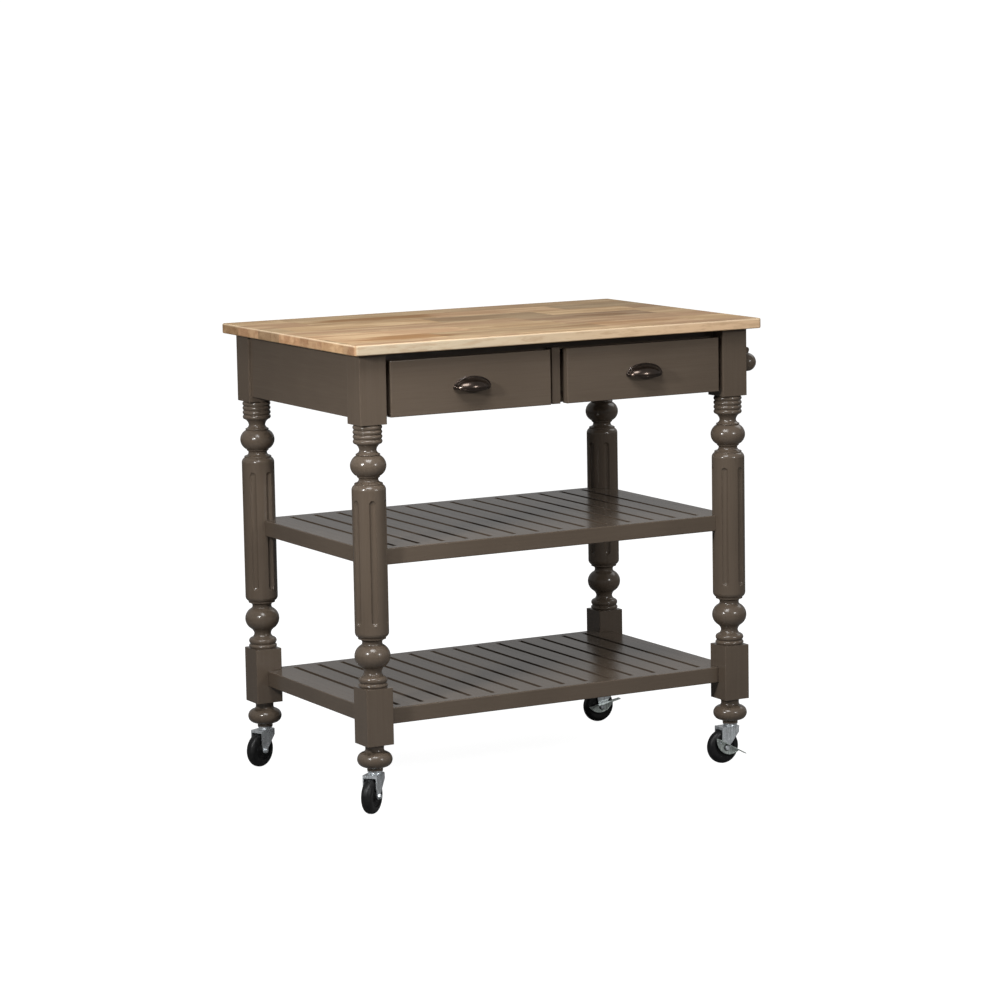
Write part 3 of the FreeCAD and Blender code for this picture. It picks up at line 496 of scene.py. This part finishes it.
# ------------------------------------------------------------------ caster details
MM = 0.001
RACE_IN, RACE_OUT, RACE_HIGH = 10.6 * MM, 14.2 * MM, 2.9 * MM   # pressed race on the fork crown
BRAKE_SLOPE = {"fr": 29.0, "br": -11.0}                         # lever slopes at rest, degrees
BRAKE_FACE = 16.9 * MM            # outer face of the lever's half-moon plate
MOON_R, MOON_UP = 33.0 * MM, 20.0 * MM    # the plate's radius, and its centre above the axle
MOON_RIM_R, MOON_RIM_IN = 0.9 * MM, 1.1 * MM      # rolled rim: its radius and inset
MOON_FROM, MOON_STEP, MOON_POINTS = -57, 6, 20    # the rim's run, in degrees from straight down
PEDAL_TOP = 7.0 * MM              # pedal above the axle
RIBS, RIBS_FROM, RIB_PITCH = 5, -41.5, 3.2        # grip ribs, in millimetres along the pedal
RIB_FROM, RIB_STEP, RIB_POINTS = 19.5, 1.5, 5     # a rib's run, in millimetres across it
RIB_R = 0.55 * MM
RIVET_X, RIVET_Z = 19.0 * MM, 2.6 * MM    # rivet, along the lever and above the axle
# turned outlines as (radius, height) in millimetres
WEB_RINGS = (((13.6, 9.0), (14.0, 9.9), (15.0, 9.9), (15.4, 9.0)),
             ((17.8, 9.0), (18.1, 9.7), (18.7, 9.7), (19.0, 9.0)))
RIVET = (2.4, 0.0), (2.3, 0.5), (1.5, 1.1), (0.0, 1.3)
WASHER = (4.2, 0.05), (4.2, 0.45), (7.0, 0.45), (7.2, 0.05)


def caster_place(key):
    """Matrix of a caster at rest: origin on the floor under the stem, +X the way it trails."""
    joints = {j["name"]: j for j in frame["joints"]}
    stem = Vector(joints["caster_%s_swivel" % key]["pos_m"])
    axle = Vector(joints["caster_%s_roll" % key]["pos_m"])
    trail = Vector((axle.x - stem.x, axle.y - stem.y, 0.0))
    heading = math.atan2(trail.y, trail.x)
    place = Matrix.Translation((stem.x, stem.y, 0.0)) @ Matrix.Rotation(heading, 4, "Z")
    return place, trail.length, axle.z


def in_metres(outline):
    """An outline given in millimetres."""
    return [(radius * MM, height * MM) for radius, height in outline]


def caster_details(key, looks):
    """Race, web rings and, on the braked casters, the lever's rim, ribs, rivet and washer."""
    place, trail, axle_z = caster_place(key)
    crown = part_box("caster_%s_fork" % key)[1].z
    swivel = "swivel_" + key
    zinc_slot = "zinc_plated_steel"
    steel = looks[zinc_slot]
    # pressed ball race standing on the crown, clear of the stem collar
    race = bmesh.new()
    arc = [math.pi * k / 8 for k in range(9)]
    middle = (RACE_IN + RACE_OUT) / 2
    half = (RACE_OUT - RACE_IN) / 2
    turned(race, [(middle + half * math.cos(t), RACE_HIGH * math.sin(t)) for t in arc])
    at = place @ Matrix.Translation((0, 0, crown))
    piece("caster_%s_race" % key, race, at, swivel, zinc_slot, steel)
    # moulded ring and bearing cup on both sides of the wheel's web
    side = Matrix.Rotation(math.pi / 2, 4, "X")
    for sign in (-1, 1):
        flip = Matrix.Rotation(math.pi if sign < 0 else 0.0, 4, "Z")
        at = place @ Matrix.Translation((trail, 0, axle_z)) @ flip @ side
        web = bmesh.new()
        for outline in WEB_RINGS:
            turned(web, in_metres(outline))
        name = "caster_%s_web_ring_%s" % (key, "in" if sign < 0 else "out")
        piece(name, web, at, "wheel_" + key, "black_rubber", looks["black_rubber"])
    if key not in BRAKE_SLOPE:
        return
    # lever: rolled rim along the half-moon, grip ribs on the pedal and a rivet at its root
    tilt = Matrix.Rotation(math.radians(-BRAKE_SLOPE[key]), 4, "Y")
    lever = place @ Matrix.Translation((trail, 0, axle_z)) @ tilt
    body = "brake_" + key
    rim = bmesh.new()
    radius = MOON_R - MOON_RIM_IN
    line = []
    for k in range(MOON_POINTS):
        t = math.radians(MOON_FROM + MOON_STEP * k)
        line.append(Vector((radius * math.sin(t), BRAKE_FACE, MOON_UP - radius * math.cos(t))))
    bead(rim, line, MOON_RIM_R, (0, 1, 0))
    piece("caster_%s_brake_rim" % key, rim, lever, body, zinc_slot, looks["brake_steel"])
    ribs = bmesh.new()
    for k in range(RIBS):
        x = (RIBS_FROM + RIB_PITCH * k) * MM
        line = [Vector((x, (RIB_FROM + RIB_STEP * i) * MM, PEDAL_TOP)) for i in range(RIB_POINTS)]
        bead(ribs, line, RIB_R, (1, 0, 0))
    piece("caster_%s_brake_ribs" % key, ribs, lever, body, zinc_slot, looks["brake_steel"])
    rivet = bmesh.new()
    turned(rivet, in_metres(RIVET), 24, False)
    outward = Matrix.Rotation(-math.pi / 2, 4, "X")
    at = lever @ (Matrix.Translation((RIVET_X, BRAKE_FACE, RIVET_Z)) @ outward)
    piece("caster_%s_brake_rivet" % key, rivet, at, body, zinc_slot, steel)
    washer = bmesh.new()
    turned(washer, in_metres(WASHER))
    at = place @ (Matrix.Translation((trail, BRAKE_FACE, axle_z)) @ outward)
    piece("caster_%s_brake_washer" % key, washer, at, swivel, "black_steel", looks["black_steel"])


# ------------------------------------------------------------------ drawer slide balls
CHANNEL_T = 1.5 * MM              # wall of the fixed channel
CHANNEL_MIDDLE = 6.25 * MM        # the row of balls, in from the channel's back
BALLS, BALL_R, BALL_PITCH = 8, 1.15 * MM, 6.5 * MM
BALLS_FROM = 5 * MM               # the first ball, behind the channel's front end
CAGE_R, CAGE_STEP, CAGE_POINTS = 0.45 * MM, 4, 14     # the cage's step in millimetres
CAGE_AHEAD = 2 * MM               # it starts this far in front of the first ball


def slide_balls(name, looks):
    """Ball cage near the front of each fixed channel, where the open drawer still bears."""
    slot = "zinc_plated_steel"
    fixed_low, fixed_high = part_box("slides_fixed_" + name)
    moving_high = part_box("drawer_%s_slides" % name)[1]
    middle_z = (fixed_low.z + fixed_high.z) / 2
    row_z = ((fixed_high.z - CHANNEL_T) + moving_high.z) / 2 - middle_z
    start = fixed_low.y + BALLS_FROM
    for label, wall, turn in (("outer", fixed_low.x, 1), ("inner", fixed_high.x, -1)):
        x = wall + turn * CHANNEL_MIDDLE
        shape = bmesh.new()
        for sign in (-1, 1):
            z = middle_z + sign * row_z
            for k in range(BALLS):
                at = Matrix.Translation((x, start + BALL_PITCH * k, z))
                bmesh.ops.create_icosphere(shape, subdivisions=2, radius=BALL_R, matrix=at)
            cage = [Vector((x, start - CAGE_AHEAD + k * CAGE_STEP * MM, z))
                    for k in range(CAGE_POINTS)]
            bead(shape, cage, CAGE_R, (1, 0, 0), 6)
        label = "slide_balls_%s_%s" % (name, label)
        piece(label, shape, Matrix.Identity(4), "frame", slot, looks[slot])


# ------------------------------------------------------------------ pull rims
FLANGE_RISE = 22.0 * MM           # the top of the pull's flange above its lower corners
FLANGE_T = 1.6 * MM               # its thickness
RIM_R = 0.9 * MM                  # the rim rolled round it
RIM_FROM, RIM_STEP, RIM_POINTS = 6, 7, 25         # the rim's run, in degrees up from the right


def pull_rim(name, looks):
    """Rolled rim round the flange of a cup pull."""
    low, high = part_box("drawer_%s_pull" % name)
    half = (high.x - low.x) / 2 - RIM_R
    line = []
    for k in range(RIM_POINTS):
        t = math.radians(RIM_FROM + RIM_STEP * k)
        x = (low.x + high.x) / 2 + half * math.cos(t)
        z = high.z - FLANGE_RISE + (FLANGE_RISE - RIM_R) * math.sin(t)
        line.append(Vector((x, high.y - FLANGE_T, z)))
    shape = bmesh.new()
    bead(shape, line, RIM_R, (0, 1, 0))
    label = "drawer_%s_pull_rim" % name
    piece(label, shape, Matrix.Identity(4), "drawer_" + name, "dark_bronze", looks["dark_bronze"])


# ------------------------------------------------------------------ studio
# the camera stands where the photograph's was, from the corners of the top, legs and shelves
CAMERA = Vector((-3.3629, -6.1452, 1.5431))
YAW = math.radians(-28.7)         # from +Y; negative is towards +X
PITCH = math.radians(-8.1)
ROLL = math.radians(-1.0)
FOCAL = 3.4678                    # in frame widths
VIEW_DEPTH = 300.0                # clip distance, in metres
AMBIENT = 0.34                    # world light on the table
BACKDROP = 1.05                   # world light as the background of the picture
FLOOR_GREY = 0.20                 # the floor's colour for bounced light
FLOOR_SHADE = 0.30                # its colour in view: the higher, the more its shadows show
FLOOR_CLOUD = 0.30                # a faint unevenness mixed into either
FLOOR_GLOW = 0.95                 # its own light in view, which keeps it nearly white
FLOOR_RADIUS = 90.0
FLOOR_GAP = 0.0002                # under the wheels, so that the faces never coincide
AIM_HEIGHT = 0.5                  # the lamps look at this height under the worktop's middle
# name, aim above that, azimuth and elevation in degrees, distance, size, watts
LAMPS = (("key_right", 0.0, 16.0, 20.0, 4.2, 0.32, 46.0),
         ("key_left", 0.35, -62.0, 12.0, 1.9, 0.16, 22.0),
         ("high_fill", 0.4, -34.0, 46.0, 1.9, 0.9, 34.0),
         ("back_fill", 0.0, 102.0, 40.0, 3.4, 1.6, 16.0))


def softbox(name, aim, azimuth, elevation, distance, size, power):
    """Square area light that looks at aim; azimuth 0 is in front of the drawers."""
    a = math.radians(azimuth)
    e = math.radians(elevation)
    away = Vector((math.sin(a) * math.cos(e), -math.cos(a) * math.cos(e), math.sin(e)))
    lamp = bpy.data.objects.new(name, bpy.data.lights.new(name, "AREA"))
    lamp.data.shape = "SQUARE"
    lamp.data.size = size
    lamp.data.energy = power
    lamp.location = aim + away * distance
    lamp.rotation_mode = "QUATERNION"
    lamp.rotation_quaternion = away.to_track_quat("Z", "Y")
    bpy.context.scene.collection.objects.link(lamp)


def studio():
    """Floor, world, lamps and camera."""
    # the floor stays nearly white in view; for every other ray it is a plain pale grey
    ground = Graph("studio_floor")
    cloud = ground.noise(ground.stretched(1.5, 1.5, 1.5), 2.0)
    seen = ground.add("ShaderNodeLightPath").outputs["Is Camera Ray"]
    shade = ground.mix(seen, (FLOOR_GREY,) * 3, (FLOOR_SHADE,) * 3)
    shade = ground.mix(ground.times(cloud, 0.06), shade, (FLOOR_CLOUD,) * 3)
    ground.set(Base_Color=shade, Roughness=0.9, Specular_IOR_Level=0.0)
    ground.set(Emission_Color=(1.0, 1.0, 1.0), Emission_Strength=ground.times(seen, FLOOR_GLOW))
    mesh = bpy.data.meshes.new("floor")
    shape = bmesh.new()
    bmesh.ops.create_circle(shape, cap_ends=True, segments=96, radius=FLOOR_RADIUS)
    shape.to_mesh(mesh)
    shape.free()
    floor = bpy.data.objects.new("floor", mesh)
    floor.location.z = cad_low.z - FLOOR_GAP
    mesh.materials.append(ground.material)
    bpy.context.scene.collection.objects.link(floor)

    world = bpy.data.worlds.new("studio_white")
    world.use_nodes = True
    tree = world.node_tree
    glow = tree.nodes["Background"]
    glow.inputs["Color"].default_value = (1.0, 1.0, 1.0, 1.0)
    strength = tree.nodes.new("ShaderNodeMapRange")
    strength.inputs["To Min"].default_value = AMBIENT
    strength.inputs["To Max"].default_value = BACKDROP
    path = tree.nodes.new("ShaderNodeLightPath")
    tree.links.new(path.outputs["Is Camera Ray"], strength.inputs["Value"])
    tree.links.new(strength.outputs[0], glow.inputs["Strength"])
    bpy.context.scene.world = world

    aim = Vector((TOP_CENTRE.x, TOP_CENTRE.y, AIM_HEIGHT))
    for name, rise, *how in LAMPS:
        softbox(name, aim + Vector((0, 0, rise)), *how)

    camera = bpy.data.objects.new("camera", bpy.data.cameras.new("camera"))
    level = math.cos(PITCH)
    ahead = Vector((-math.sin(YAW) * level, math.cos(YAW) * level, math.sin(PITCH)))
    right = ahead.cross(Vector((0, 0, 1))).normalized()
    up = right.cross(ahead)
    tilted_right = right * math.cos(ROLL) + up * math.sin(ROLL)
    tilted_up = up * math.cos(ROLL) - right * math.sin(ROLL)
    turn = Matrix((tilted_right, tilted_up, -ahead)).transposed()
    camera.matrix_world = Matrix.Translation(CAMERA) @ turn.to_4x4()
    camera.data.lens = FOCAL * camera.data.sensor_width
    camera.data.clip_end = VIEW_DEPTH
    bpy.context.scene.collection.objects.link(camera)
    bpy.context.scene.camera = camera
    bpy.context.scene.view_settings.view_transform = "Standard"


# ------------------------------------------------------------------ build
looks = finishes()
for corner in ("fl", "fr", "bl", "br"):
    caster_details(corner, looks)
for side_name in ("left", "right"):
    slide_balls(side_name, looks)
    pull_rim(side_name, looks)
studio()
